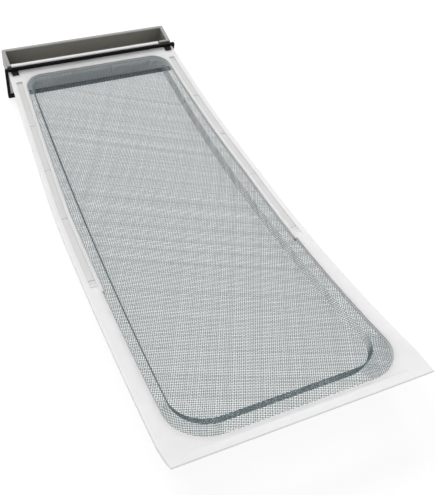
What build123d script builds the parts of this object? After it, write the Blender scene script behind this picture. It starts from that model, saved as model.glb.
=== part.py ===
from build123d import *
import os
from math import acos, atan, cos, degrees, radians, sin, tan

os.makedirs("parts", exist_ok=True)

# Blade: the bowed white frame that slides into the dryer's chute, narrower towards the handle
BLADE_WIDTH = 203.0
BLADE_LENGTH = 474.0
BOW_RADIUS = 1180.0
FRAME_THICK = 4.0
LEAD_LENGTH = 20.0
LEAD_INSET = 2.1
NOSE_LENGTH = 8.0
NOSE_THICK = 1.2
EDGE_ROUND = 0.5
TAPER_LENGTH = 215.0
TAPER_INSET = 8.9

# Window in the frame through which the mesh shows
RAIL_NEAR = 12.5
RAIL_FAR = 14.1
WINDOW_NEAR_GAP = 8.7
WINDOW_FAR_GAP = 10.0
WINDOW_CORNER = 32.0
WINDOW_FAR_CORNER = 19.0

# Shallow channel along both rails, with its cross slits and sloping near end
CHANNEL_WIDTH = 6.2
CHANNEL_DEPTH = 1.0
CHANNEL_LIP = 4.8
CHANNEL_START = 159.0
CHANNEL_RAMP = 9.0
CHANNEL_FAR_GAP = 17.0
SLIT_WIDTH = 1.3
SLIT_LENGTH = 5.6
SLIT_INSET = 0.3
SLIT_FAR_GAPS = (84.0, 150.0, 217.5, 299.5)

# Shallow groove across the leading end
GROOVE_SETBACK = 7.0
GROOVE_WIDTH = 1.6
GROOVE_DEPTH = 0.5
GROOVE_SIDE_GAP = 18.5

# Woven screen, pressed to a shallow tub and moulded into the frame by its rim
SCREEN_THICK = 0.8
SCREEN_DROP = 1.6
SCREEN_GRIP = 2.5
FLANGE_SIDE_NEAR = 7.4
FLANGE_SIDE_FAR = 5.2
FLANGE_NEAR = 17.0
FLANGE_FAR = 6.2
TUB_DEPTH = 11.0
TUB_DRAFT = 15.0
TUB_CORNER = 29.0
TUB_FAR_CORNER = 11.0
GAPS_ACROSS = 5
GAPS_ALONG = 12
GAP_BAR = 1.6

# White end plate, in one moulding with the frame
PLATE_THICK = 3.0
PLATE_SIDE_INSET = 1.0
PLATE_DROP = 34.0
SHOULDER_DROP = 1.8
TONGUE_LEFT = 88.0
TONGUE_RIGHT = 77.0
TONGUE_RISE = 5.0
NECK_INSET = 1.5
GUSSET_COUNT = 4
GUSSET_THICK = 2.2
GUSSET_REACH = 10.0
GUSSET_DROP = 24.0
GUSSET_SPACING = 44.0

# Black seal ring around the blade's end, with two tabs over the frame
SEAL_THICK = 2.5
SEAL_TOP = 3.4
SEAL_LOW_LIP = 2.6
SEAL_BAR_SIDE = 3.0
SEAL_BAR_LOW = 4.4
SEAL_ROUND = 1.5
TAB_WIDTH = 7.0
TAB_REACH = 6.5
TAB_THICK = 1.5
TAB_TIP_THICK = 1.1
TAB_SIDE_INSET = 3.0

# Grey handle: an open tray with a finger hollow, two corner posts and their pegs
HANDLE_SIDE_INSET = 0.3
HANDLE_DEPTH = 27.5
HANDLE_TOP = 3.2
HANDLE_DROP = 17.0
HANDLE_END_WALL = 3.8
HANDLE_WALL = 3.8
HANDLE_FLOOR = 3.0
HANDLE_CORNER = 2.0
HANDLE_RIM_ROUND = 0.8
POST_WIDTH = 9.0
POST_DEPTH = 3.0
PEG_DIAMETER = 4.0
PEG_DROP_HIGH = 5.0
PEG_DROP_LOW = 11.0

# Clearances
PEG_CLEARANCE = 0.15
SEAL_CLEARANCE = 0.2

# Extra height of a cutting block, and how far blocks of one moulding run into each other
SPARE = 12.0
DEEP = 70.0
JOIN = 0.5

HALF = BLADE_WIDTH / 2
UNDERSIDE = TUB_DEPTH + SCREEN_THICK
SEAL_DROP = PLATE_DROP + SEAL_LOW_LIP

# The part lies on the tub's underside and on the seal's lower edge
END_TURN = acos((BOW_RADIUS + UNDERSIDE) / (BOW_RADIUS + SEAL_DROP))
REST_PLACE = BLADE_LENGTH - BOW_RADIUS * END_TURN


def turn(s):
    """Angle of a place s along the bow, in degrees from the resting line."""
    return degrees((s - REST_PLACE) / BOW_RADIUS)


def on_bow(s, n):
    """Point in the YZ plane at place s and height n, with the bow's centre at the origin."""
    a = radians(turn(s))
    return ((BOW_RADIUS - n) * sin(a), -(BOW_RADIUS - n) * cos(a))


def swept(section, s0, s1):
    """A section in the XZ plane swept along the bow from s0 to s1."""
    arc = turn(s1) - turn(s0)
    return Rot(X=turn(s0)) * revolve(section, axis=Axis.X, revolution_arc=arc)


def bowed(x0, x1, n0, n1, s0, s1):
    """A block that follows the bow: x0 to x1 wide, n0 to n1 high, s0 to s1 long."""
    middle = Pos((x0 + x1) / 2, 0, -(BOW_RADIUS - (n0 + n1) / 2))
    return swept(middle * (Plane.XZ * Rectangle(x1 - x0, n1 - n0)), s0, s1)


def layer(n0, n1):
    """A bowed layer wider and longer than the blade."""
    return bowed(-BLADE_WIDTH, BLADE_WIDTH, n0, n1, -LEAD_LENGTH - SPARE, BLADE_LENGTH + SPARE)


def side_prism(points, width):
    """A prism across the blade from (s, n) points."""
    outline = Polygon(*[on_bow(s, n) for s, n in points], align=None)
    return extrude(Plane.YZ * outline, amount=width / 2, both=True)


def plan(pairs, level=0):
    """A flat outline, alike on both sides, from (half width, s) pairs in order along the blade."""
    right = [(half, on_bow(s, level)[0]) for half, s in pairs]
    left = [(-x, y) for x, y in reversed(right)]
    return Polygon(*right, *left, align=None)


def upright(outline):
    """A tall prism over a flat outline, through the whole bow."""
    return Pos(0, 0, -BOW_RADIUS) * extrude(outline, amount=DEEP, both=True)


def block(x0, x1, t0, t1, n0, n1):
    """A straight block at the blade's far end: t runs outward from the blade, n is height."""
    return END * (Pos((x0 + x1) / 2, (t0 + t1) / 2, (n0 + n1) / 2) * Box(x1 - x0, t1 - t0, n1 - n0))


def half_at(s):
    """Half the blade's width at place s."""
    return HALF - TAPER_INSET * max(0, s - taper_s) / TAPER_LENGTH


end_y, end_z = on_bow(BLADE_LENGTH, 0)
END = Pos(0, end_y, end_z) * Rot(X=turn(BLADE_LENGTH))
up = (END * Pos(0, 0, 1)).position - END.position
outward = (END * Pos(0, 1, 0)).position - END.position

# Places shared by the pieces
taper_s = BLADE_LENGTH - TAPER_LENGTH
end_half = half_at(BLADE_LENGTH)
window_s0 = -WINDOW_NEAR_GAP
window_s1 = BLADE_LENGTH - WINDOW_FAR_GAP
open_s0 = window_s0 + FLANGE_NEAR
open_s1 = window_s1 - FLANGE_FAR
open_half_near = half_at(open_s0) - RAIL_NEAR - FLANGE_SIDE_NEAR
open_half_far = half_at(open_s1) - RAIL_FAR - FLANGE_SIDE_FAR
rim_top = -SCREEN_DROP
rim_low = -SCREEN_DROP - SCREEN_THICK
draft = tan(radians(TUB_DRAFT))
narrowing = (open_half_near - open_half_far) / (open_s1 - open_s0)
seal_hole_half = end_half + SEAL_CLEARANCE
seal_half = seal_hole_half + SEAL_BAR_SIDE
neck_half = end_half - NECK_INSET
plate_half = seal_half - PLATE_SIDE_INSET
handle_half = end_half - HANDLE_SIDE_INSET
hollow_half = handle_half - HANDLE_END_WALL
plate_t0 = SEAL_THICK
plate_t1 = SEAL_THICK + PLATE_THICK
handle_t1 = plate_t1 + HANDLE_DEPTH


def window_outline(grow):
    """The window's outline with rounded corners, widened by grow."""
    s0 = window_s0 - grow
    s1 = window_s1 + grow
    outline = plan(
        [
            (half_at(s0) - RAIL_NEAR + grow, s0),
            (half_at(CHANNEL_START) - RAIL_NEAR + grow, CHANNEL_START),
            (half_at(CHANNEL_START) - RAIL_FAR + grow, CHANNEL_START),
            (half_at(taper_s) - RAIL_FAR + grow, taper_s),
            (half_at(s1) - RAIL_FAR + grow, s1),
        ]
    )
    outline = fillet(outline.vertices().sort_by(Axis.Y)[:2], WINDOW_CORNER + grow)
    return fillet(outline.vertices().sort_by(Axis.Y)[-2:], WINDOW_FAR_CORNER + grow)


def open_half(s):
    """Half the tub's width at place s, at the rim's height."""
    return open_half_near - narrowing * (s - open_s0)


def tub_block(grow, top, bottom):
    """The tub as a drafted block that follows the bow, widened by grow at the rim's height."""
    s0 = open_s0 - grow
    s1 = open_s1 + grow
    middle = open_half(REST_PLACE) + grow
    high = top + SPARE
    low = bottom - SPARE
    section = Polygon(
        (-BLADE_WIDTH, -(BOW_RADIUS - low)),
        (middle + (low - rim_top) * draft, -(BOW_RADIUS - low)),
        (middle + (high - rim_top) * draft, -(BOW_RADIUS - high)),
        (-BLADE_WIDTH, -(BOW_RADIUS - high)),
        align=None,
    )
    right = Rot(Z=degrees(atan(narrowing))) * swept(Plane.XZ * section, s0 - 3 * SPARE, s1 + 3 * SPARE)
    below = low - DEEP
    above = high + SPARE
    ends = side_prism(
        [
            (s0 - (above - rim_top) * draft, above),
            (s0 - (below - rim_top) * draft, below),
            (s1 + (below - rim_top) * draft, below),
            (s1 + (above - rim_top) * draft, above),
        ],
        2 * BLADE_WIDTH,
    )
    body = right & mirror(right, about=Plane.YZ) & ends
    posts = body.edges().filter_by(lambda e: e.length < open_half_far).sort_by(Axis.Y)
    body = fillet(posts[:2], TUB_CORNER + grow)
    posts = body.edges().filter_by(lambda e: e.length < open_half_far).sort_by(Axis.Y)
    body = fillet(posts[-2:], TUB_FAR_CORNER + grow)
    return body & layer(bottom, top)


# White frame and end plate
frame = bowed(-HALF, HALF, -FRAME_THICK, 0, -LEAD_LENGTH, BLADE_LENGTH)
nose_s = NOSE_LENGTH - LEAD_LENGTH
nose_rise = (FRAME_THICK - NOSE_THICK) / NOSE_LENGTH
frame -= side_prism(
    [
        (nose_s, -FRAME_THICK),
        (-LEAD_LENGTH - SPARE, nose_rise * (NOSE_LENGTH + SPARE) - FRAME_THICK),
        (-LEAD_LENGTH - SPARE, -FRAME_THICK - SPARE),
        (nose_s, -FRAME_THICK - SPARE),
    ],
    2 * BLADE_WIDTH,
)
tip_edges = frame.edges().filter_by(Axis.X).sort_by(Axis.Y)[0:2]
frame = fillet(tip_edges, EDGE_ROUND)
frame &= upright(
    plan(
        [
            (HALF - LEAD_INSET - LEAD_INSET * SPARE / LEAD_LENGTH, -LEAD_LENGTH - SPARE),
            (HALF, 0),
            (HALF, taper_s),
            (half_at(BLADE_LENGTH + SPARE), BLADE_LENGTH + SPARE),
        ]
    )
)
frame -= upright(window_outline(0))
frame -= upright(window_outline(SCREEN_GRIP)) & layer(rim_low, rim_top)

channel_s0 = CHANNEL_START + CHANNEL_RAMP
channel_s1 = BLADE_LENGTH - CHANNEL_FAR_GAP
channel_places = (channel_s0, taper_s, channel_s1)
channel_outer = plan([(half_at(s) - CHANNEL_LIP, s) for s in channel_places])
channel_inner = plan([(half_at(s) - CHANNEL_LIP - CHANNEL_WIDTH, s) for s in channel_places])
frame -= upright(channel_outer - channel_inner) & layer(-CHANNEL_DEPTH, SPARE)
ramp = side_prism(
    [
        (CHANNEL_START, 0),
        (channel_s0, -CHANNEL_DEPTH),
        (channel_s0, SPARE),
        (CHANNEL_START, SPARE),
    ],
    CHANNEL_WIDTH,
)
for side in (-1, 1):
    frame -= Pos(side * (half_at(channel_s0) - CHANNEL_LIP - CHANNEL_WIDTH / 2), 0, 0) * ramp
    for gap in SLIT_FAR_GAPS:
        s = BLADE_LENGTH - gap
        middle = side * (half_at(s) - CHANNEL_LIP - SLIT_INSET - SLIT_LENGTH / 2)
        frame -= bowed(
            middle - SLIT_LENGTH / 2,
            middle + SLIT_LENGTH / 2,
            -FRAME_THICK - SPARE,
            SPARE,
            s - SLIT_WIDTH / 2,
            s + SLIT_WIDTH / 2,
        )

groove_half = HALF - GROOVE_SIDE_GAP
groove_s = -LEAD_LENGTH + GROOVE_SETBACK
frame -= bowed(-groove_half, groove_half, -GROOVE_DEPTH, SPARE, groove_s, groove_s + GROOVE_WIDTH)

frame += block(-neck_half, neck_half, -JOIN, plate_t0 + JOIN, -FRAME_THICK, 0)
frame += block(-plate_half, plate_half, plate_t0, plate_t1, -PLATE_DROP, -SHOULDER_DROP)
frame += block(-TONGUE_LEFT, TONGUE_RIGHT, plate_t0, plate_t1, -SHOULDER_DROP - JOIN, TONGUE_RISE)
for k in range(GUSSET_COUNT):
    x = (k - (GUSSET_COUNT - 1) / 2) * GUSSET_SPACING
    web = Polygon(
        (plate_t0 + JOIN, -FRAME_THICK + JOIN),
        (plate_t0 - GUSSET_REACH, -FRAME_THICK + JOIN),
        (plate_t0 - GUSSET_REACH, -FRAME_THICK),
        (plate_t0, -FRAME_THICK - GUSSET_DROP),
        (plate_t0 + JOIN, -FRAME_THICK - GUSSET_DROP),
        align=None,
    )
    frame += END * (Pos(x, 0, 0) * extrude(Plane.YZ * web, amount=GUSSET_THICK / 2, both=True))

peg_x = hollow_half - POST_WIDTH / 2
peg_places = [(side * peg_x, -n) for side in (-1, 1) for n in (PEG_DROP_HIGH, PEG_DROP_LOW)]


def peg(x, n, diameter, t0, t1):
    """A round bar along t at the far end."""
    return END * (Pos(x, (t0 + t1) / 2, n) * Rot(X=90) * Cylinder(diameter / 2, t1 - t0))


for x, n in peg_places:
    frame -= peg(x, n, PEG_DIAMETER + 2 * PEG_CLEARANCE, plate_t0 - JOIN, plate_t1 + JOIN)

# Woven screen
tub = upright(window_outline(SCREEN_GRIP)) & layer(rim_low, rim_top)
tub += tub_block(SCREEN_THICK, rim_low + SCREEN_THICK / 2, -UNDERSIDE)
tub -= tub_block(0, rim_top + JOIN, -TUB_DEPTH)

# Coarse openings that stand for the weave, in the tub's floor
floor_inset = (TUB_DEPTH - SCREEN_DROP) * draft + GAP_BAR
floor_s0 = open_s0 + floor_inset
floor_s1 = open_s1 - floor_inset
floor_plan = plan([(open_half(s) - floor_inset, s) for s in (floor_s0, floor_s1)], -TUB_DEPTH)
floor_plan = fillet(floor_plan.vertices().sort_by(Axis.Y)[:2], TUB_CORNER - GAP_BAR)
floor_plan = fillet(floor_plan.vertices().sort_by(Axis.Y)[-2:], TUB_FAR_CORNER - GAP_BAR)
pitch_s = (floor_s1 - floor_s0) / GAPS_ALONG
cross_bars = []
for j in range(1, GAPS_ALONG):
    y = on_bow(floor_s0 + j * pitch_s, -TUB_DEPTH)[0]
    cross_bars.append(Pos(0, y) * Rectangle(2 * BLADE_WIDTH, GAP_BAR))
long_bars = []
for i in range(1, GAPS_ACROSS):
    share = 2 * i / GAPS_ACROSS - 1
    ends = [(share * (open_half(s) - floor_inset), on_bow(s, -TUB_DEPTH)[0]) for s in (window_s0, window_s1)]
    corners = [(x - GAP_BAR / 2, y) for x, y in ends] + [(x + GAP_BAR / 2, y) for x, y in reversed(ends)]
    long_bars.append(Polygon(*corners, align=None))
tub -= upright(floor_plan - cross_bars - long_bars) & layer(-UNDERSIDE - JOIN, JOIN - TUB_DEPTH)

# The same in the near part of the rim and in the long walls
flange_half = HALF - RAIL_NEAR - WINDOW_CORNER
flange_plan = plan([(flange_half, window_s0 + GAP_BAR), (flange_half, open_s0 - SCREEN_THICK - GAP_BAR)])
tub -= upright(flange_plan - long_bars) & layer(rim_low - JOIN, rim_top + JOIN)
wall_gap = Box(2 * SPARE, pitch_s - GAP_BAR, TUB_DEPTH + rim_low - 2 * GAP_BAR)
for j in range(1, GAPS_ALONG - 1):
    s = floor_s0 + (j + 0.5) * pitch_s
    y, z = on_bow(s, (rim_low - TUB_DEPTH) / 2)
    for side in (-1, 1):
        tub -= Pos(side * open_half(s), y, z) * Rot(X=turn(s)) * wall_gap

# Black seal
seal = block(-seal_half, seal_half, 0, SEAL_THICK, -SEAL_DROP, SEAL_TOP)
seal = fillet(seal.edges().filter_by(Axis(END.position, outward)), SEAL_ROUND)
seal -= block(
    -seal_hole_half,
    seal_hole_half,
    -JOIN,
    SEAL_THICK + JOIN,
    -SEAL_DROP + SEAL_BAR_LOW,
    SEAL_CLEARANCE,
)
tab_side = Polygon(
    (SEAL_THICK / 2, -SPARE),
    (SEAL_THICK / 2, TAB_THICK),
    (0, TAB_THICK),
    (-TAB_REACH, TAB_TIP_THICK),
    (-TAB_REACH, -SPARE),
    align=None,
)
tab_x = end_half - TAB_SIDE_INSET - TAB_WIDTH / 2
for side in (-1, 1):
    strip = END * (Pos(side * tab_x, 0, 0) * extrude(Plane.YZ * tab_side, amount=TAB_WIDTH / 2, both=True))
    seal += strip & layer(0, SPARE)

# Grey handle
handle = block(-handle_half, handle_half, plate_t1, handle_t1, -HANDLE_DROP, HANDLE_TOP)
corners = handle.edges().filter_by(Axis(END.position, up)).sort_by(lambda e: e.center().dot(outward))[-2:]
handle = fillet(corners, HANDLE_CORNER)
handle -= block(
    -hollow_half,
    hollow_half,
    plate_t1 - JOIN,
    handle_t1 - HANDLE_WALL,
    -HANDLE_DROP + HANDLE_FLOOR,
    HANDLE_TOP + JOIN,
)
for side in (-1, 1):
    x0, x1 = sorted((side * (hollow_half - POST_WIDTH), side * (hollow_half + JOIN)))
    handle += block(x0, x1, plate_t1, plate_t1 + POST_DEPTH, JOIN - HANDLE_DROP, HANDLE_TOP)
rim_edges = handle.faces().sort_by(lambda f: f.center().dot(up))[-1].edges()
handle = fillet(rim_edges, HANDLE_RIM_ROUND)
for x, n in peg_places:
    handle += peg(x, n, PEG_DIAMETER, plate_t0, plate_t1 + JOIN)

# Set on the ground, centred over the origin
pieces = {"frame": frame, "screen": tub, "seal": seal, "handle": handle}
low_y = min(p.bounding_box().min.Y for p in pieces.values())
high_y = max(p.bounding_box().max.Y for p in pieces.values())
low_z = min(p.bounding_box().min.Z for p in pieces.values())
place = Pos(0, -(low_y + high_y) / 2, -low_z)
for name, piece in pieces.items():
    export_step(place * piece, f"parts/{name}.step")
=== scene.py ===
import math

import bmesh
import bpy
import numpy as np
from mathutils import Matrix, Vector


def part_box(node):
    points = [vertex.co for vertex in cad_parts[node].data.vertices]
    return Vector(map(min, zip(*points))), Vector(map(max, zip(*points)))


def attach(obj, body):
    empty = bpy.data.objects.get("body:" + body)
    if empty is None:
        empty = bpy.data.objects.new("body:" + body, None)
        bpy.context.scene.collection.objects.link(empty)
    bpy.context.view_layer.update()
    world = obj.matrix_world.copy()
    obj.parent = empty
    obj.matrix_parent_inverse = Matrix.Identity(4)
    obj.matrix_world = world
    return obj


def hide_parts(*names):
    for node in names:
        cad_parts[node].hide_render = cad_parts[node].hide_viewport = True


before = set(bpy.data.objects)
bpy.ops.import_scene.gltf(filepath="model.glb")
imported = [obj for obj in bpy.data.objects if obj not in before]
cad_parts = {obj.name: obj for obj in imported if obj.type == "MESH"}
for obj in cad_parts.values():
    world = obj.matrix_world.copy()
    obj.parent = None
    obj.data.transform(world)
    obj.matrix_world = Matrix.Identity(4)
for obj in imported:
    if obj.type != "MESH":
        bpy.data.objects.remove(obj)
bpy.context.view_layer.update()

# Millimetres in a metre
PER_METRE = 1000

# Sizes of the CAD model that the cloth and the finishes follow, in millimetres, with the draft in degrees
BLADE_HALF = 101.5
BLADE_LENGTH = 474.0
BOW_RADIUS = 1180.0
TAPER_LENGTH = 215.0
TAPER_INSET = 8.9
RAIL_NEAR = 12.5
RAIL_FAR = 14.1
CHANNEL_START = 159.0
WINDOW_NEAR_GAP = 8.7
WINDOW_FAR_GAP = 10.0
WINDOW_CORNER = 32.0
WINDOW_FAR_CORNER = 19.0
FLANGE_SIDE_NEAR = 7.4
FLANGE_SIDE_FAR = 5.2
FLANGE_NEAR = 17.0
FLANGE_FAR = 6.2
SCREEN_DROP = 1.6
SCREEN_THICK = 0.8
TUB_DEPTH = 11.0
TUB_DRAFT = 15.0
TUB_CORNER = 29.0
TUB_FAR_CORNER = 11.0
CHANNEL_DEPTH = 1.0
LEAD_LENGTH = 20.0
GROOVE_SETBACK = 7.0
GROOVE_WIDTH = 1.6
GROOVE_DEPTH = 0.5
PLATE_FACE = 5.5
HANDLE_TOP = 3.2
HANDLE_WALL = 3.8
HANDLE_FLOOR = 3.0
SEAL_DROP = 36.6
HANDLE_REACH = 33.0
HANDLE_DROP = 17.0

# The cloth's own sizes, in millimetres, with the weave's turn in degrees
THREAD_PITCH = 1.5
THREAD_THICK = 0.48
THREAD_CRIMP = 0.20
WEAVE_TURN = -26.5
THREAD_UNEVEN = 0.11
WEAVE_WARP = 0.7
WEAVE_BANDS = 1.6
BAND_RATE = 0.13
CLOTH_GRIP = 2.5
CLOTH_BEND = 0.9
CLOTH_LENGTHS = 3
WEAVE_SEED = 7

# Where painted light on the threads starts and is full towards the handle, along y in metres
PAINTED_LIGHT_START = 0.16
PAINTED_LIGHT_END = 0.21

# The moulding round the cloth's rim, in millimetres
GRIP_SET = 0.04
GRIP_DEPTH = 2.4
GRIP_LIP = 1.0
GRIP_TOP = 0.3
GRIP_EDGE = 1.9

# The softened groove and the eased edges, in millimetres
GROOVE_SOFT_DEPTH = 0.35
GROOVE_SLOPE = 1.2
FRAME_EASE = 0.35
HANDLE_EASE = 0.4
SEAL_EASE = 0.3

UNDERSIDE = TUB_DEPTH + SCREEN_THICK
SLOT_LOW = SCREEN_DROP + SCREEN_THICK
END_TURN = math.acos((BOW_RADIUS + UNDERSIDE) / (BOW_RADIUS + SEAL_DROP))
REST_PLACE = BLADE_LENGTH - BOW_RADIUS * END_TURN
TAPER_START = BLADE_LENGTH - TAPER_LENGTH
HANDLE_END = (BOW_RADIUS + HANDLE_DROP) * math.sin(END_TURN) + HANDLE_REACH * math.cos(END_TURN)
BOW_PLACE = PER_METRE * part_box("handle")[1].y - HANDLE_END


def on_bow(x, s, n):
    """Row-frame points in metres for places s along the bow, x across it and n above its top face."""
    a = (s - REST_PLACE) / BOW_RADIUS
    y = BOW_PLACE + (BOW_RADIUS - n) * np.sin(a)
    z = BOW_RADIUS + UNDERSIDE - (BOW_RADIUS - n) * np.cos(a)
    return np.stack([x, y, z], -1) / PER_METRE


def layer_point(x, s, n):
    """Row-frame points in metres on the layer n above the top face, straight above or below place s."""
    y = BOW_RADIUS * np.sin((s - REST_PLACE) / BOW_RADIUS)
    z = BOW_RADIUS + UNDERSIDE - np.sqrt((BOW_RADIUS - n) ** 2 - y**2)
    return np.stack([x, BOW_PLACE + y, z], -1) / PER_METRE


def blade_half(s):
    """Half the blade's width at a place along it."""
    return BLADE_HALF - TAPER_INSET * np.clip(s - TAPER_START, 0, None) / TAPER_LENGTH


# Node helpers


def add(tree, kind, settings=None, **inputs):
    """One node with its settings and inputs; an input is a value or another node's socket."""
    made = tree.nodes.new(kind)
    for key, value in (settings or {}).items():
        setattr(made, key, value)
    for key, value in inputs.items():
        numbered = key[0] == "i" and key[1:].isdigit()
        socket = made.inputs[int(key[1:]) if numbered else key.replace("_", " ")]
        if isinstance(value, bpy.types.NodeSocket):
            tree.links.new(value, socket)
        else:
            socket.default_value = value
    return made


def math_node(tree, operation, a, b=0.0):
    """The result of a sum of one or two values."""
    return add(tree, "ShaderNodeMath", {"operation": operation}, i0=a, i1=b).outputs[0]


def weighed(tree, value, weight, other):
    """A value times its weight, plus another value."""
    return math_node(tree, "ADD", math_node(tree, "MULTIPLY", value, weight), other)


def ramp(tree, value, low, high, top=1.0):
    """A value brought from the range between low and high to the range between 0 and top."""
    return add(tree, "ShaderNodeMapRange", i0=value, i1=low, i2=high, i3=0.0, i4=top).outputs[0]


def vector_node(tree, operation, a, b):
    """The outputs of a vector operation: its vector first, then its value."""
    return add(tree, "ShaderNodeVectorMath", {"operation": operation}, i0=a, i1=b).outputs


def scaled(tree, vector, factor):
    """A vector times a factor."""
    return add(tree, "ShaderNodeVectorMath", {"operation": "SCALE"}, Vector=vector, Scale=factor).outputs[0]


def geometry_tree(name, inputs):
    """An empty Geometry Nodes tree with named inputs, given as (name, socket type) pairs."""
    tree = bpy.data.node_groups.new(name, "GeometryNodeTree")
    tree.interface.new_socket("Geometry", in_out="INPUT", socket_type="NodeSocketGeometry")
    for label, kind in inputs:
        tree.interface.new_socket(label, in_out="INPUT", socket_type=kind)
    tree.interface.new_socket("Geometry", in_out="OUTPUT", socket_type="NodeSocketGeometry")
    return tree, tree.nodes.new("NodeGroupInput"), tree.nodes.new("NodeGroupOutput")


def grown(obj, tree, values):
    """The plain mesh that a Geometry Nodes tree makes of an object, with its inputs set by identifier."""
    modifier = obj.modifiers.new(tree.name, "NODES")
    modifier.node_group = tree
    for item in tree.interface.items_tree:
        if item.in_out == "INPUT" and item.name in values:
            modifier[item.identifier] = values[item.name]
    depsgraph = bpy.context.evaluated_depsgraph_get()
    mesh = bpy.data.meshes.new_from_object(obj.evaluated_get(depsgraph), depsgraph=depsgraph)
    obj.modifiers.remove(modifier)
    return mesh


def piece(name, mesh, slot, *nodes):
    """A finished piece of the object, standing for CAD nodes."""
    obj = bpy.data.objects.new(name, mesh)
    bpy.context.scene.collection.objects.link(obj)
    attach(obj, "root")
    if nodes:
        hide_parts(*nodes)
    return obj


# Shader effects that several finishes share

FLOW_SIZE = 90.0
FLOW_HEIGHT = 0.6
PATCH_SHARE = 0.7
SPECK_SHARE = 0.7
SPECK_RANGE = (0.62, 0.76)
CLOUD_SIZE = 22.0
CLOUD_SHARE = 0.35
CLOUD_RANGE = (0.42, 0.68)


def shader_group(name, inputs, outputs):
    """An empty shader group with named inputs, their values, and named outputs."""
    tree = bpy.data.node_groups.new(name, "ShaderNodeTree")
    for label, kind, value in inputs:
        socket = tree.interface.new_socket(label, in_out="INPUT", socket_type=kind)
        socket.default_value = value
    for label, kind in outputs:
        tree.interface.new_socket(label, in_out="OUTPUT", socket_type=kind)
    return tree, tree.nodes.new("NodeGroupInput"), tree.nodes.new("NodeGroupOutput")


def mould_grain_group():
    """Fine spark-eroded grain, soft flow marks and a patchy tone of moulded plastic."""
    tree, given, out = shader_group(
        "mould grain",
        [
            ("Grain Size", "NodeSocketFloat", 1400.0),
            ("Patch Size", "NodeSocketFloat", 14.0),
        ],
        [("Height", "NodeSocketFloat"), ("Tone", "NodeSocketFloat")],
    )
    place = add(tree, "ShaderNodeTexCoord").outputs["Object"]
    fine = add(tree, "ShaderNodeTexNoise", Vector=place, Scale=given.outputs["Grain Size"], Detail=2.0)
    size = given.outputs["Patch Size"]
    patch = add(tree, "ShaderNodeTexNoise", Vector=place, Scale=size, Detail=4.0, Roughness=0.6)
    flow = add(tree, "ShaderNodeTexNoise", Vector=place, Scale=FLOW_SIZE, Detail=3.0, Distortion=0.6)
    height = weighed(tree, flow.outputs["Fac"], FLOW_HEIGHT, fine.outputs["Fac"])
    streaks = math_node(tree, "MULTIPLY", flow.outputs["Fac"], 1 - PATCH_SHARE)
    tone = weighed(tree, patch.outputs["Fac"], PATCH_SHARE, streaks)
    tree.links.new(height, out.inputs["Height"])
    tree.links.new(tone, out.inputs["Tone"])
    return tree


def dust_group():
    """Grey lint dust that lies in thin specks and smears."""
    tree, given, out = shader_group(
        "lint dust",
        [("Amount", "NodeSocketFloat", 0.3), ("Speck Size", "NodeSocketFloat", 260.0)],
        [("Dust", "NodeSocketFloat")],
    )
    place = add(tree, "ShaderNodeTexCoord").outputs["Object"]
    specks = add(tree, "ShaderNodeTexNoise", Vector=place, Scale=given.outputs["Speck Size"], Detail=3.0)
    cloud = add(tree, "ShaderNodeTexNoise", Vector=place, Scale=CLOUD_SIZE, Detail=3.0)
    picked = ramp(tree, specks.outputs["Fac"], *SPECK_RANGE)
    clouded = ramp(tree, cloud.outputs["Fac"], *CLOUD_RANGE)
    both = weighed(tree, picked, SPECK_SHARE, math_node(tree, "MULTIPLY", clouded, CLOUD_SHARE))
    tree.links.new(math_node(tree, "MULTIPLY", both, given.outputs["Amount"]), out.inputs["Dust"])
    return tree


MOULD_GRAIN = mould_grain_group()
LINT_DUST = dust_group()


def place_group(tree, group, **inputs):
    """A shared effect placed in a material with its own values."""
    made = tree.nodes.new("ShaderNodeGroup")
    made.node_tree = group
    for key, value in inputs.items():
        made.inputs[key.replace("_", " ")].default_value = value
    return made


def mixed(tree, factor, a, b):
    """A colour between a and b."""
    made = tree.nodes.new("ShaderNodeMix")
    made.data_type = "RGBA"
    for socket, value in ((made.inputs["Factor"], factor), (made.inputs[6], a), (made.inputs[7], b)):
        if isinstance(value, bpy.types.NodeSocket):
            tree.links.new(value, socket)
        else:
            socket.default_value = value
    return made.outputs[2]


# Finishes, with their lengths in metres

GRAIN_HEIGHT = 0.0002
TONE_RANGE = (0.35, 0.65)
SHEEN_SPREAD = 0.14
DUST_DULLS = 0.25
PLASTIC_IOR = 1.49
MILKY_DEPTH = 0.005
EVEN_RADIUS = (1.0, 1.0, 1.0)
RUBBER_LOW = (0.002, 0.002, 0.002, 1)
RUBBER_HIGH = (0.006, 0.006, 0.006, 1)
RUBBER_DUST = (0.10, 0.09, 0.08, 1)
RUBBER_GLOSS = 0.12
RUBBER_ROUGH = 0.55
RUBBER_ROUGH_SPREAD = 0.2
THREAD_DEEP = (0.105, 0.163, 0.176, 1)
THREAD_PALE = (0.158, 0.226, 0.240, 1)
# Painted shade for the side of a thread that faces out of the tub
THREAD_SHADED_SIDE = (0.032, 0.058, 0.064, 1)
# Paler colour for lint dust and for the painted light towards the handle
THREAD_DUST_AND_LIGHT = (0.40, 0.46, 0.49, 1)
THREAD_SIDE_RANGE = (-0.4, 0.4)
THREAD_ROUGH = 0.38
THREAD_ROUGH_SPREAD = 0.15
THREAD_GLOW = 0.3
THREAD_GLOW_DEPTH = 0.0006
# The greatest share of the painted light towards the handle
PAINTED_LIGHT_SHARE = 0.75


def finish(name):
    """A new material with its Principled shader."""
    made = bpy.data.materials.new(name)
    made.use_nodes = True
    return made, made.node_tree, made.node_tree.nodes["Principled BSDF"]


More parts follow.
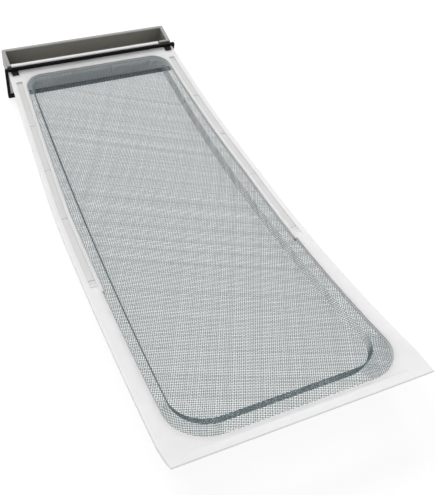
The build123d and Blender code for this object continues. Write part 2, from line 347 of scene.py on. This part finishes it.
def moulded_plastic(name, light, dark, dust, painted_shade, roughness, grain, bump, dust_amount, milky):
    """Grained plastic with lint dust, and painted shade on the faces that an attribute marks."""
    made, tree, shader = finish(name)
    grained = place_group(tree, MOULD_GRAIN, Grain_Size=grain)
    dusty = place_group(tree, LINT_DUST, Amount=dust_amount)
    tone = ramp(tree, grained.outputs["Tone"], *TONE_RANGE)
    colour = mixed(tree, dusty.outputs["Dust"], mixed(tree, tone, dark, light), dust)
    # Painted shade: the faces that the attribute marks are mixed towards a darker colour
    shade_share = add(tree, "ShaderNodeAttribute", {"attribute_name": "painted_shade"}).outputs["Fac"]
    tree.links.new(mixed(tree, shade_share, colour, painted_shade), shader.inputs["Base Color"])
    rough = weighed(tree, grained.outputs["Tone"], SHEEN_SPREAD, roughness - SHEEN_SPREAD / 2)
    rough = weighed(tree, dusty.outputs["Dust"], DUST_DULLS, rough)
    tree.links.new(rough, shader.inputs["Roughness"])
    height = grained.outputs["Height"]
    raised = add(tree, "ShaderNodeBump", Strength=bump, Distance=GRAIN_HEIGHT, Height=height)
    tree.links.new(raised.outputs["Normal"], shader.inputs["Normal"])
    shader.inputs["IOR"].default_value = PLASTIC_IOR
    shader.inputs["Subsurface Weight"].default_value = milky
    shader.inputs["Subsurface Radius"].default_value = EVEN_RADIUS
    shader.inputs["Subsurface Scale"].default_value = MILKY_DEPTH
    return made


SATIN_WHITE = moulded_plastic(
    "satin white plastic",
    light=(0.80, 0.80, 0.80, 1),
    dark=(0.755, 0.755, 0.755, 1),
    dust=(0.60, 0.59, 0.57, 1),
    # Painted shade for the floors of the rails' channels
    painted_shade=(0.65, 0.65, 0.645, 1),
    roughness=0.42,
    grain=1500.0,
    bump=0.10,
    dust_amount=0.16,
    milky=0.8,
)
GRIP_GREY = moulded_plastic(
    "grey grip plastic",
    light=(0.37, 0.365, 0.35, 1),
    dark=(0.32, 0.315, 0.30, 1),
    dust=(0.48, 0.47, 0.45, 1),
    # Painted shade for the handle's finger hollow
    painted_shade=(0.225, 0.215, 0.19, 1),
    roughness=0.5,
    grain=900.0,
    bump=0.3,
    dust_amount=0.25,
    milky=0.0,
)


def seal_rubber():
    """Matte black rubber with a trace of dust."""
    made, tree, shader = finish("black seal rubber")
    grained = place_group(tree, MOULD_GRAIN, Grain_Size=700.0, Patch_Size=40.0)
    dusty = place_group(tree, LINT_DUST, Amount=0.04)
    colour = mixed(tree, grained.outputs["Tone"], RUBBER_LOW, RUBBER_HIGH)
    tree.links.new(mixed(tree, dusty.outputs["Dust"], colour, RUBBER_DUST), shader.inputs["Base Color"])
    shader.inputs["Specular IOR Level"].default_value = RUBBER_GLOSS
    rough = weighed(tree, grained.outputs["Tone"], RUBBER_ROUGH_SPREAD, RUBBER_ROUGH)
    tree.links.new(rough, shader.inputs["Roughness"])
    height = grained.outputs["Height"]
    raised = add(tree, "ShaderNodeBump", Strength=0.3, Distance=GRAIN_HEIGHT, Height=height)
    tree.links.new(raised.outputs["Normal"], shader.inputs["Normal"])
    return made


def cloth_thread():
    """Thread with painted shade on the side that faces out of the tub, paler lint dust, and paler painted
    light towards the handle.
    """
    made, tree, shader = finish("grey woven thread")
    tint = add(tree, "ShaderNodeAttribute", {"attribute_name": "tint"}).outputs["Fac"]
    dusty = place_group(tree, LINT_DUST, Amount=0.2, Speck_Size=180.0)
    colour = mixed(tree, tint, THREAD_DEEP, THREAD_PALE)
    side = add(tree, "ShaderNodeAttribute", {"attribute_name": "inside"}).outputs["Fac"]
    # Painted shade on the side of each thread that faces out of the tub
    colour = mixed(tree, ramp(tree, side, *THREAD_SIDE_RANGE), THREAD_SHADED_SIDE, colour)
    place = add(tree, "ShaderNodeTexCoord").outputs["Object"]
    along = add(tree, "ShaderNodeSeparateXYZ", Vector=place).outputs["Y"]
    # Painted light: the threads grow paler towards the handle
    painted_light = ramp(tree, along, PAINTED_LIGHT_START, PAINTED_LIGHT_END, PAINTED_LIGHT_SHARE)
    # Lint dust and the painted light, which mix towards the same paler colour
    lint = math_node(tree, "ADD", painted_light, dusty.outputs["Dust"])
    tree.links.new(mixed(tree, lint, colour, THREAD_DUST_AND_LIGHT), shader.inputs["Base Color"])
    rough = weighed(tree, tint, THREAD_ROUGH_SPREAD, THREAD_ROUGH)
    tree.links.new(rough, shader.inputs["Roughness"])
    shader.inputs["Subsurface Weight"].default_value = THREAD_GLOW
    shader.inputs["Subsurface Radius"].default_value = EVEN_RADIUS
    shader.inputs["Subsurface Scale"].default_value = THREAD_GLOW_DEPTH
    return made


SEAL_BLACK = seal_rubber()
THREAD_GREY = cloth_thread()

# The pressed cloth: a flat cut, woven, then pressed to the tub

FLOOR_LIFT = 0.08
FLOOR_LEVEL = -(TUB_DEPTH + SCREEN_THICK / 2) + FLOOR_LIFT
RIM_LEVEL = -(SCREEN_DROP + SCREEN_THICK / 2)
WINDOW_S0 = -WINDOW_NEAR_GAP
WINDOW_S1 = BLADE_LENGTH - WINDOW_FAR_GAP
OPEN_S0 = WINDOW_S0 + FLANGE_NEAR
OPEN_S1 = WINDOW_S1 - FLANGE_FAR
OPEN_HALF_NEAR = BLADE_HALF - RAIL_NEAR - FLANGE_SIDE_NEAR
OPEN_HALF_FAR = float(blade_half(OPEN_S1)) - RAIL_FAR - FLANGE_SIDE_FAR
FLAT_MIDDLE = (OPEN_S0 + OPEN_S1) / 2
SPINE_NEAR = 84.0
SPINE_FAR = 74.0

# How finely the cloth and its outlines are divided
SIDE_POINTS = 150
TURN_POINTS = 16
END_POINTS = 40
FOLD_STEPS = 7
FLOOR_RINGS = 16
RIM_STEPS = 4
SHORTEST = 1e-12

# The loom: lengths in metres, and where each set of threads starts in its noise
LOOM_MARGIN = 0.01
LATTICE_LIFT = 0.05
WARP_SIZE = 11.0
NOISE_MIDDLE = 0.5
COLUMN_BAND = 3.0
ROW_BAND = 47.0
THREAD_SIDES = 3


def open_half(s):
    """Half the tub's width at its rim, at a place along the blade."""
    return OPEN_HALF_NEAR + (s - OPEN_S0) / (OPEN_S1 - OPEN_S0) * (OPEN_HALF_FAR - OPEN_HALF_NEAR)


def window_half(s):
    """Half the window's width between the rails, at a place along the blade."""
    rail = np.where(s < CHANNEL_START, RAIL_NEAR, RAIL_FAR)
    return blade_half(s) - rail


def rounded_outline(half, s0, s1, near, far):
    """Points (x, s) round a long outline with rounded corners, in the same order for every outline."""
    s = np.linspace(s0 + near, s1 - far, SIDE_POINTS, endpoint=False)
    right = np.stack([half(s), s], 1)
    angle = np.linspace(0, math.pi / 2, TURN_POINTS, endpoint=False)
    far_x = float(half(np.float64(s1 - far))) - far
    near_x = float(half(np.float64(s0 + near))) - near
    far_turn = np.stack([far_x + far * np.cos(angle), s1 - far + far * np.sin(angle)], 1)
    across = np.linspace(1, -1, END_POINTS, endpoint=False)
    far_end = np.stack([far_x * across, np.full(END_POINTS, s1)], 1)
    far_left = np.stack([-far_x - far * np.sin(angle), s1 - far + far * np.cos(angle)], 1)
    s = np.linspace(s1 - far, s0 + near, SIDE_POINTS, endpoint=False)
    left = np.stack([-half(s), s], 1)
    near_left = np.stack([-near_x - near * np.cos(angle), s0 + near - near * np.sin(angle)], 1)
    near_end = np.stack([-near_x * across, np.full(END_POINTS, s0)], 1)
    near_turn = np.stack([near_x + near * np.sin(angle), s0 + near - near * np.cos(angle)], 1)
    return np.concatenate([right, far_turn, far_end, far_left, left, near_left, near_end, near_turn])


def tub_outline(inset, grow=0.0):
    """The tub's outline at an inset from its rim, with its corner radii grown for the flat cut."""
    near = TUB_CORNER + grow
    far = TUB_FAR_CORNER + grow
    return rounded_outline(lambda s: open_half(s) - inset, OPEN_S0 + inset, OPEN_S1 - inset, near, far)


def pressed_cloth():
    """Rings of the cloth from its middle to its rim: flat places and pressed places, in millimetres."""
    draft = math.radians(TUB_DRAFT)
    fold = math.pi / 2 - draft
    tangent = CLOTH_BEND * math.tan(fold / 2)
    rim_edge = -(RIM_LEVEL + SCREEN_DROP) * math.tan(draft) - SCREEN_THICK / 2 / math.cos(draft)
    floor_edge = rim_edge + (RIM_LEVEL - FLOOR_LEVEL) * math.tan(draft)
    steps = np.linspace(0, fold, FOLD_STEPS)
    across = CLOTH_BEND * np.sin(steps)
    rise = CLOTH_BEND * (1 - np.cos(steps))
    inset = np.concatenate([floor_edge + tangent - across, (rim_edge - tangent + across)[::-1]])
    level = np.concatenate([FLOOR_LEVEL + rise, (RIM_LEVEL - rise)[::-1]])
    reach = np.concatenate([[0], np.cumsum(np.hypot(np.diff(inset), np.diff(level)))])
    flat, bent = [], []
    base = tub_outline(inset[0])
    along = np.clip(base[:, 1], OPEN_S0 + SPINE_NEAR, OPEN_S1 - SPINE_FAR)
    spine = np.stack([np.zeros(len(base)), along], 1)
    for share in np.linspace(1, 0, FLOOR_RINGS)[:-1]:
        ring = base + (spine - base) * share
        flat.append(ring)
        bent.append(np.column_stack([ring, np.full(len(ring), FLOOR_LEVEL)]))
    for e, n, d in zip(inset, level, reach):
        flat.append(tub_outline(inset[0] - d, d))
        bent.append(np.column_stack([tub_outline(e), np.full(len(base), n)]))
    edge = rounded_outline(
        lambda s: window_half(s) + CLOTH_GRIP,
        WINDOW_S0 - CLOTH_GRIP,
        WINDOW_S1 + CLOTH_GRIP,
        WINDOW_CORNER + CLOTH_GRIP,
        WINDOW_FAR_CORNER + CLOTH_GRIP,
    )
    step = edge - bent[-1][:, :2]
    inner_flat, inner_bent = flat[-1], bent[-1]
    for share in np.linspace(0, 1, RIM_STEPS + 1)[1:]:
        flat.append(inner_flat + step * share)
        bent.append(np.column_stack([inner_bent[:, :2] + step * share, np.full(len(base), RIM_LEVEL)]))
    return np.array(flat), np.array(bent)


def flat_cut():
    """The cut cloth lying flat, with each point's pressed place and facing as attributes."""
    flat, bent = pressed_cloth()
    rings, around = flat.shape[:2]
    across, along = flat.reshape(-1, 2).T
    points = np.column_stack([across, along - FLAT_MIDDLE, np.zeros(rings * around)]) / PER_METRE
    ring, at = np.meshgrid(np.arange(rings - 1), np.arange(around), indexing="ij")
    inner, outer = ring * around, (ring + 1) * around
    after = (at + 1) % around
    quads = np.stack([inner + at, outer + at, outer + after, inner + after], -1).reshape(-1, 4)
    mesh = bpy.data.meshes.new("flat cut")
    mesh.from_pydata(points.tolist(), [], quads.tolist())
    pressed = on_bow(bent[..., 0], bent[..., 1], bent[..., 2])
    round_ring = np.roll(pressed, -1, 1) - np.roll(pressed, 1, 1)
    outward = np.gradient(pressed, axis=0)
    facing = np.cross(outward, round_ring)
    facing /= np.maximum(np.linalg.norm(facing, axis=-1, keepdims=True), SHORTEST)
    facing[0] = facing[1]
    facing *= np.where(facing[..., 2:3] < 0, -1, 1)
    for label, values in (("pressed", pressed), ("facing", facing)):
        kept = mesh.attributes.new(label, "FLOAT_VECTOR", "POINT")
        kept.data.foreach_set("vector", values.astype(np.float32).ravel())
    return mesh, flat[-1] / PER_METRE


def weave_tree():
    """Threads over and under each other on a lattice, carried from the flat cut to its pressed shape."""
    tree, given, out = geometry_tree(
        "woven threads",
        [
            ("Pitch", "NodeSocketFloat"),
            ("Thickness", "NodeSocketFloat"),
            ("Crimp", "NodeSocketFloat"),
            ("Turn", "NodeSocketFloat"),
            ("Uneven", "NodeSocketFloat"),
            ("Warp", "NodeSocketFloat"),
            ("Bands", "NodeSocketFloat"),
            ("Lines Across", "NodeSocketInt"),
            ("Lines Along", "NodeSocketInt"),
            ("From", "NodeSocketFloat"),
            ("To", "NodeSocketFloat"),
            ("Seed", "NodeSocketInt"),
            ("Thread", "NodeSocketMaterial"),
        ],
    )
    o = given.outputs
    wide = math_node(tree, "MULTIPLY", o["Pitch"], math_node(tree, "SUBTRACT", o["Lines Across"], 1.0))
    long = math_node(tree, "MULTIPLY", o["Pitch"], math_node(tree, "SUBTRACT", o["Lines Along"], 1.0))
    grid = add(
        tree,
        "GeometryNodeMeshGrid",
        Size_X=wide,
        Size_Y=long,
        Vertices_X=o["Lines Across"],
        Vertices_Y=o["Lines Along"],
    )
    index = add(tree, "GeometryNodeInputIndex").outputs[0]
    column = math_node(tree, "FLOOR", math_node(tree, "DIVIDE", index, o["Lines Along"]))
    row = math_node(tree, "SUBTRACT", index, math_node(tree, "MULTIPLY", column, o["Lines Along"]))
    odd = math_node(tree, "MODULO", math_node(tree, "ADD", column, row), 2.0)
    over = math_node(tree, "SUBTRACT", math_node(tree, "MULTIPLY", odd, 2.0), 1.0)

    def store(geometry, label, value, kind="FLOAT", domain="POINT"):
        settings = {"data_type": kind, "domain": domain}
        inputs = {"Geometry": geometry, "Name": label, "Value": value}
        return add(tree, "GeometryNodeStoreNamedAttribute", settings, **inputs).outputs[0]

    def read(label, kind="FLOAT"):
        made = add(tree, "GeometryNodeInputNamedAttribute", {"data_type": kind}, Name=label)
        return made.outputs["Attribute"]

    def drawn(line, low=0.0):
        """A random number from low to one for each line of the lattice."""
        inputs = {"i2": low, "i3": 1.0, "ID": line, "Seed": o["Seed"]}
        return add(tree, "FunctionNodeRandomValue", {"data_type": "FLOAT"}, **inputs).outputs[1]

    def changed(kind, geometry, settings=None, **inputs):
        return add(tree, kind, settings, Geometry=geometry, **inputs).outputs[0]

    ends = add(tree, "GeometryNodeInputMeshEdgeVertices").outputs
    apart = math_node(tree, "SUBTRACT", ends["Vertex Index 1"], ends["Vertex Index 2"])
    apart = math_node(tree, "ABSOLUTE", apart)
    lattice = store(grid.outputs["Mesh"], "over", over)
    lattice = store(lattice, "column", column)
    lattice = store(lattice, "row", row)
    lattice = store(lattice, "lengthwise", math_node(tree, "COMPARE", apart, 1.0), domain="EDGE")
    slips = []
    for line, start in ((column, COLUMN_BAND), (row, ROW_BAND)):
        slip = math_node(tree, "MULTIPLY", drawn(line, -1.0), o["Uneven"])
        count = weighed(tree, line, BAND_RATE, start)
        band = add(tree, "ShaderNodeTexNoise", {"noise_dimensions": "1D"}, W=count, Scale=1.0, Detail=1.0)
        band = math_node(tree, "SUBTRACT", band.outputs[0], NOISE_MIDDLE)
        slips.append(weighed(tree, band, o["Bands"], slip))
    slip = add(tree, "ShaderNodeCombineXYZ", X=slips[0], Y=slips[1]).outputs[0]
    at = add(tree, "GeometryNodeInputPosition").outputs[0]
    wave = add(tree, "ShaderNodeTexNoise", Vector=at, Scale=WARP_SIZE, Detail=1.0).outputs["Color"]
    wave = vector_node(tree, "SUBTRACT", wave, (NOISE_MIDDLE, NOISE_MIDDLE, NOISE_MIDDLE))[0]
    wave = vector_node(tree, "MULTIPLY", wave, (1.0, 1.0, 0.0))[0]
    moved = vector_node(tree, "ADD", slip, scaled(tree, wave, o["Warp"]))[0]
    lattice = changed("GeometryNodeSetPosition", lattice, Offset=moved)
    turned = add(tree, "ShaderNodeCombineXYZ", Z=o["Turn"]).outputs[0]
    above = (0.0, 0.0, LATTICE_LIFT)
    lattice = changed("GeometryNodeTransform", lattice, Translation=above, Rotation=turned)
    for label in ("pressed", "facing"):
        ray = add(
            tree,
            "GeometryNodeRaycast",
            {"data_type": "FLOAT_VECTOR", "mapping": "INTERPOLATED"},
            Target_Geometry=o["Geometry"],
            Attribute=read(label, "FLOAT_VECTOR"),
            Ray_Direction=(0.0, 0.0, -1.0),
            Ray_Length=1.0,
        )
        lattice = store(lattice, label + " here", ray.outputs["Attribute"], "FLOAT_VECTOR")
        lattice = store(lattice, "on cloth", ray.outputs["Is Hit"])
    depth = add(tree, "ShaderNodeSeparateXYZ", Vector=at).outputs["Y"]
    kept = math_node(tree, "GREATER_THAN", depth, o["From"])
    kept = math_node(tree, "MULTIPLY", kept, math_node(tree, "LESS_THAN", depth, o["To"]))
    kept = math_node(tree, "MULTIPLY", kept, read("on cloth"))
    spare = math_node(tree, "LESS_THAN", kept, 0.5)
    lattice = changed("GeometryNodeDeleteGeometry", lattice, {"domain": "POINT"}, Selection=spare)
    radius = math_node(tree, "MULTIPLY", o["Thickness"], 0.5)
    profile = add(tree, "GeometryNodeCurvePrimitiveCircle", Resolution=THREAD_SIDES, Radius=radius)
    profile = profile.outputs[0]
    joined = tree.nodes.new("GeometryNodeJoinGeometry")
    for lengthwise, line, sign in ((1.0, "column", 1.0), (0.0, "row", -1.0)):
        chosen = math_node(tree, "COMPARE", read("lengthwise"), lengthwise)
        lines = add(tree, "GeometryNodeMeshToCurve", Mesh=lattice, Selection=chosen).outputs[0]
        lift = math_node(tree, "MULTIPLY", math_node(tree, "MULTIPLY", read("over"), o["Crimp"]), sign)
        facing = read("facing here", "FLOAT_VECTOR")
        pressed = read("pressed here", "FLOAT_VECTOR")
        offset = scaled(tree, facing, lift)
        lines = changed("GeometryNodeSetPosition", lines, Position=pressed, Offset=offset)
        lines = store(lines, "tint", drawn(read(line)))
        lines = add(tree, "GeometryNodeSetCurveNormal", {"mode": "Z_UP"}, Curve=lines).outputs[0]
        tube = add(tree, "GeometryNodeCurveToMesh", Curve=lines, Profile_Curve=profile, Fill_Caps=True)
        # Which way each thread's surface faces against the cloth, read for its painted shade
        faced = add(tree, "GeometryNodeInputNormal").outputs[0]
        inside = vector_node(tree, "DOT_PRODUCT", faced, facing)["Value"]
        tree.links.new(store(tube.outputs[0], "inside", inside), joined.inputs[0])
    smooth = changed("GeometryNodeSetShadeSmooth", joined.outputs[0])
    real = changed("GeometryNodeRealizeInstances", smooth)
    done = changed("GeometryNodeSetMaterial", real, Material=o["Thread"])
    tree.links.new(done, out.inputs["Geometry"])
    return tree


def weave_screen():
    """The screen's cloth in lengths, each a piece of its own."""
    cut, outline = flat_cut()
    size = np.ptp(outline, axis=0)
    loom = bpy.data.objects.new("loom", cut)
    bpy.context.scene.collection.objects.link(loom)
    tree = weave_tree()
    turn = math.radians(WEAVE_TURN)
    reach = size / 2 + LOOM_MARGIN
    threads = reach * PER_METRE / THREAD_PITCH
    across = 2 * int(threads[0] * math.cos(turn) + threads[1] * abs(math.sin(turn))) + 1
    along = 2 * int(threads[1] * math.cos(turn) + threads[0] * abs(math.sin(turn))) + 1
    lowest = min(v.co.y for v in cut.vertices)
    strip = size[1] / CLOTH_LENGTHS
    for k in range(CLOTH_LENGTHS):
        mesh = grown(
            loom,
            tree,
            {
                "Pitch": THREAD_PITCH / PER_METRE,
                "Thickness": THREAD_THICK / PER_METRE,
                "Crimp": THREAD_CRIMP / PER_METRE,
                "Turn": turn,
                "Uneven": THREAD_UNEVEN / PER_METRE,
                "Warp": WEAVE_WARP / PER_METRE,
                "Bands": WEAVE_BANDS / PER_METRE,
                "Lines Across": across,
                "Lines Along": along,
                "From": lowest + k * strip - THREAD_PITCH / PER_METRE,
                "To": lowest + (k + 1) * strip,
                "Seed": WEAVE_SEED,
                "Thread": THREAD_GREY,
            },
        )
        mesh.name = f"screen_cloth_{k + 1}"
        cloth = piece(mesh.name, mesh, "screen", *(["screen"] if k == 0 else []))
    bpy.data.objects.remove(loom)


# Moulded pieces: the CAD shapes with their edges eased, lengths in millimetres and angles in degrees

MERGE_METRES = 1e-6
NEAR_FACE = 0.1
CHANNEL_NEAR = 0.05
HOLLOW_BRIM = 1.0
BOW_NEAR = 0.12
BOW_FACING = 0.999
FLAT_ANGLE = 0.3
SMOOTH_ANGLE = 35
EASED_ANGLE = 40
EASED_STEPS = 2


def bow_levels(points):
    """Heights of points, in millimetres, above the blade's top face, measured square to the bow."""
    return BOW_RADIUS - np.hypot(points[:, 1] - BOW_PLACE, points[:, 2] - BOW_RADIUS - UNDERSIDE)


# The floors of the rails' channels get painted shade
def channel_floor(points):
    """Whether a face lies on the floor of a rail's channel, from its corners in millimetres."""
    return np.abs(bow_levels(points) + CHANNEL_DEPTH).max() < CHANNEL_NEAR


# The faces in the finger hollow get painted shade
def hollow_face(points):
    """Whether a face lies in the handle's finger hollow, from its corners in millimetres."""
    x, y, z = points.mean(0)
    y -= BOW_PLACE + BOW_RADIUS * math.sin(END_TURN)
    z -= BOW_RADIUS + UNDERSIDE - BOW_RADIUS * math.cos(END_TURN)
    out = y * math.cos(END_TURN) + z * math.sin(END_TURN)
    height = z * math.cos(END_TURN) - y * math.sin(END_TURN)
    deep = HANDLE_FLOOR - HANDLE_DROP - NEAR_FACE < height < HANDLE_TOP - HOLLOW_BRIM
    half = PER_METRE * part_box("handle")[1].x - HANDLE_WALL + NEAR_FACE
    return deep and PLATE_FACE < out < HANDLE_REACH - HANDLE_WALL + NEAR_FACE and abs(x) < half


def mark_painted_shade(mesh, in_painted_shade):
    """Marks the faces of a mesh that get painted shade."""
    places = np.array([v.co for v in mesh.vertices]) * PER_METRE
    values = [float(in_painted_shade(places[list(p.vertices)])) for p in mesh.polygons]
    mesh.attributes.new("painted_shade", "FLOAT", "FACE").data.foreach_set("value", values)


def soften_groove(mesh):
    """Opens the groove across the leading end to a shallow trough with sloped sides."""
    middle = GROOVE_SETBACK - LEAD_LENGTH + GROOVE_WIDTH / 2
    for v in mesh.vertices:
        x, y, z = v.co * PER_METRE
        s = REST_PLACE + BOW_RADIUS * math.atan2(y - BOW_PLACE, BOW_RADIUS + UNDERSIDE - z)
        n = BOW_RADIUS - math.hypot(y - BOW_PLACE, z - BOW_RADIUS - UNDERSIDE)
        if abs(s - middle) > GROOVE_WIDTH / 2 + NEAR_FACE or n < -GROOVE_DEPTH - NEAR_FACE:
            continue
        if n < -GROOVE_DEPTH / 2:
            v.co = on_bow(np.array(x), np.array(s), -GROOVE_SOFT_DEPTH)
        else:
            v.co = on_bow(np.array(x), np.array(s + math.copysign(GROOVE_SLOPE, s - middle)), n)


def bow_shading(mesh):
    """Gives the faces that lie on the bow its true normals, so that they shade as one smooth sweep."""
    normals = np.array([c.vector for c in mesh.corner_normals])
    places = np.array([v.co for v in mesh.vertices]) * PER_METRE
    for p in mesh.polygons:
        points = places[list(p.vertices)]
        inward = np.array([0.0, BOW_PLACE, BOW_RADIUS + UNDERSIDE]) - points * (0, 1, 1)
        inward /= np.linalg.norm(inward, axis=1, keepdims=True)
        facing = inward @ np.array(p.normal)
        if np.abs(facing).min() > BOW_FACING and np.ptp(bow_levels(points)) < BOW_NEAR:
            normals[list(p.loop_indices)] = inward * np.sign(facing)[:, None]
    mesh.normals_split_custom_set(normals.tolist())


def eased(node, name, slot, rounding, material, in_painted_shade=None, reshape=None):
    """A CAD node's shape with its edges eased."""
    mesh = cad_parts[node].data.copy()
    bm = bmesh.new()
    bm.from_mesh(mesh)
    bmesh.ops.remove_doubles(bm, verts=bm.verts, dist=MERGE_METRES)
    bmesh.ops.dissolve_limit(bm, angle_limit=math.radians(FLAT_ANGLE), verts=bm.verts, edges=bm.edges)
    bm.to_mesh(mesh)
    bm.free()
    mesh.materials.clear()
    mesh.materials.append(material)
    # Marks the faces that get painted shade
    if in_painted_shade:
        mark_painted_shade(mesh, in_painted_shade)
    if reshape:
        reshape(mesh)
    mesh.shade_smooth()
    mesh.set_sharp_from_angle(angle=math.radians(SMOOTH_ANGLE))
    blank = bpy.data.objects.new("blank", mesh)
    bpy.context.scene.collection.objects.link(blank)
    bevel = blank.modifiers.new("eased edges", "BEVEL")
    bevel.width = rounding / PER_METRE
    bevel.segments = EASED_STEPS
    bevel.limit_method = "ANGLE"
    bevel.angle_limit = math.radians(EASED_ANGLE)
    bevel.harden_normals = True
    depsgraph = bpy.context.evaluated_depsgraph_get()
    done = bpy.data.meshes.new_from_object(blank.evaluated_get(depsgraph), depsgraph=depsgraph)
    bpy.data.objects.remove(blank)
    done.name = name
    bow_shading(done)
    return piece(name, done, slot, node)


def grip_ring():
    """The moulding that closes on the cloth's rim, in the slot round the window."""
    corners = [
        (GRIP_SET, -GRIP_TOP),
        (-GRIP_LIP, -GRIP_EDGE),
        (-GRIP_LIP, -SLOT_LOW),
        (GRIP_DEPTH, -SLOT_LOW),
        (GRIP_DEPTH, -SCREEN_DROP),
        (GRIP_SET, -SCREEN_DROP),
    ]
    rings = []
    for grow, n in corners:
        edge = rounded_outline(
            lambda s: window_half(s) + grow,
            WINDOW_S0 - grow,
            WINDOW_S1 + grow,
            WINDOW_CORNER + grow,
            WINDOW_FAR_CORNER + grow,
        )
        rings.append(layer_point(edge[:, 0], edge[:, 1], n))
    around = len(rings[0])
    quads = []
    for k in range(len(rings)):
        a, b = k * around, (k + 1) % len(rings) * around
        quads += [(a + i, b + i, b + (i + 1) % around, a + (i + 1) % around) for i in range(around)]
    mesh = bpy.data.meshes.new("window_grip")
    mesh.from_pydata(np.concatenate(rings).tolist(), [], quads)
    bm = bmesh.new()
    bm.from_mesh(mesh)
    bmesh.ops.recalc_face_normals(bm, faces=bm.faces)
    bm.to_mesh(mesh)
    bm.free()
    mesh.materials.append(SATIN_WHITE)
    return piece("window_grip", mesh, "frame")


grip_ring()
# Painted shade on the floors of the rails' channels
eased("frame", "moulded_frame", "frame", FRAME_EASE, SATIN_WHITE, channel_floor, soften_groove)
# Painted shade in the handle's finger hollow
eased("handle", "moulded_handle", "handle", HANDLE_EASE, GRIP_GREY, hollow_face)
eased("seal", "rubber_seal", "seal", SEAL_EASE, SEAL_BLACK)
weave_screen()

# Ground, light and camera, in metres

WHITE = (1, 1, 1, 1)
GROUND_HALF = 4.0
GROUND_DROP = 0.0004
PAPER_COLOUR = (0.86, 0.86, 0.86, 1)
PAPER_ROUGH = 0.9
PAPER_SHADE = (0.27, 0.27, 0.27, 1)
PAPER_GLOW = 0.80
SURROUND_LIGHT = 0.55
LAMP_AIM = (0.0, 0.0, 0.0)
SENSOR_WIDTH = 36.0
LENS = 51.96
CAMERA_RIGHT = (0.912540, -0.404798, 0.058388)
CAMERA_UP = (0.245114, 0.655584, 0.714233)
CAMERA_PLACE = (-0.18349, -0.455252 + BOW_PLACE / PER_METRE, 0.443433)


def white_in_view(tree):
    """One for rays that show the surround to the eye: seen straight, mirrored or through glass."""
    path = add(tree, "ShaderNodeLightPath").outputs
    mirrored = math_node(tree, "MAXIMUM", path["Is Glossy Ray"], path["Is Transmission Ray"])
    return math_node(tree, "MAXIMUM", path["Is Camera Ray"], mirrored)


def studio():
    """White paper, a white surround, two softboxes and a camera at the photograph's angle."""
    scene = bpy.context.scene
    scene.view_settings.view_transform = "Standard"
    ground = bpy.data.meshes.new("ground")
    quarters = ((-1, -1), (1, -1), (1, 1), (-1, 1))
    corners = [(x * GROUND_HALF, y * GROUND_HALF, -GROUND_DROP) for x, y in quarters]
    ground.from_pydata(corners, [], [(0, 1, 2, 3)])
    floor = bpy.data.objects.new("ground", ground)
    scene.collection.objects.link(floor)
    paper, tree, shader = finish("white paper")
    shader.inputs["Base Color"].default_value = PAPER_COLOUR
    shader.inputs["Roughness"].default_value = PAPER_ROUGH
    in_view = white_in_view(tree)
    shade = add(tree, "ShaderNodeBsdfDiffuse", Color=PAPER_SHADE)
    glow = add(tree, "ShaderNodeEmission", Color=WHITE, Strength=PAPER_GLOW)
    seen = add(tree, "ShaderNodeAddShader", i0=shade.outputs[0], i1=glow.outputs[0])
    both = add(tree, "ShaderNodeMixShader", i0=in_view, i1=shader.outputs[0], i2=seen.outputs[0])
    tree.links.new(both.outputs[0], tree.nodes["Material Output"].inputs["Surface"])
    ground.materials.append(paper)

    world = bpy.data.worlds.new("studio")
    scene.world = world
    world.use_nodes = True
    tree = world.node_tree
    tree.nodes.clear()
    soft = add(tree, "ShaderNodeBackground", Color=WHITE, Strength=SURROUND_LIGHT)
    white = add(tree, "ShaderNodeBackground", Color=WHITE, Strength=1.0)
    mix = add(tree, "ShaderNodeMixShader", i0=white_in_view(tree), i1=soft.outputs[0], i2=white.outputs[0])
    out = tree.nodes.new("ShaderNodeOutputWorld")
    tree.links.new(mix.outputs[0], out.inputs["Surface"])

    def lamp(name, place, size, power):
        light = bpy.data.lights.new(name, "AREA")
        light.shape = "RECTANGLE"
        light.size, light.size_y = size
        light.energy = power
        obj = bpy.data.objects.new(name, light)
        obj.location = place
        obj.rotation_mode = "QUATERNION"
        obj.rotation_quaternion = (Vector(LAMP_AIM) - Vector(place)).to_track_quat("-Z", "Y")
        scene.collection.objects.link(obj)

    lamp("window softbox", place=(-0.8, 2.5, 1.95), size=(2.2, 1.4), power=57.0)
    lamp("right softbox", place=(1.5, 2.0, 1.9), size=(1.2, 1.2), power=19.0)

    camera = bpy.data.cameras.new("camera")
    camera.sensor_width = SENSOR_WIDTH
    camera.lens = LENS
    camera.dof.use_dof = False
    holder = bpy.data.objects.new("camera", camera)
    right = Vector(CAMERA_RIGHT)
    up = Vector(CAMERA_UP)
    turn = Matrix((right, up, right.cross(up))).transposed()
    holder.matrix_world = Matrix.Translation(CAMERA_PLACE) @ turn.to_4x4()
    scene.collection.objects.link(holder)
    scene.camera = holder


studio()
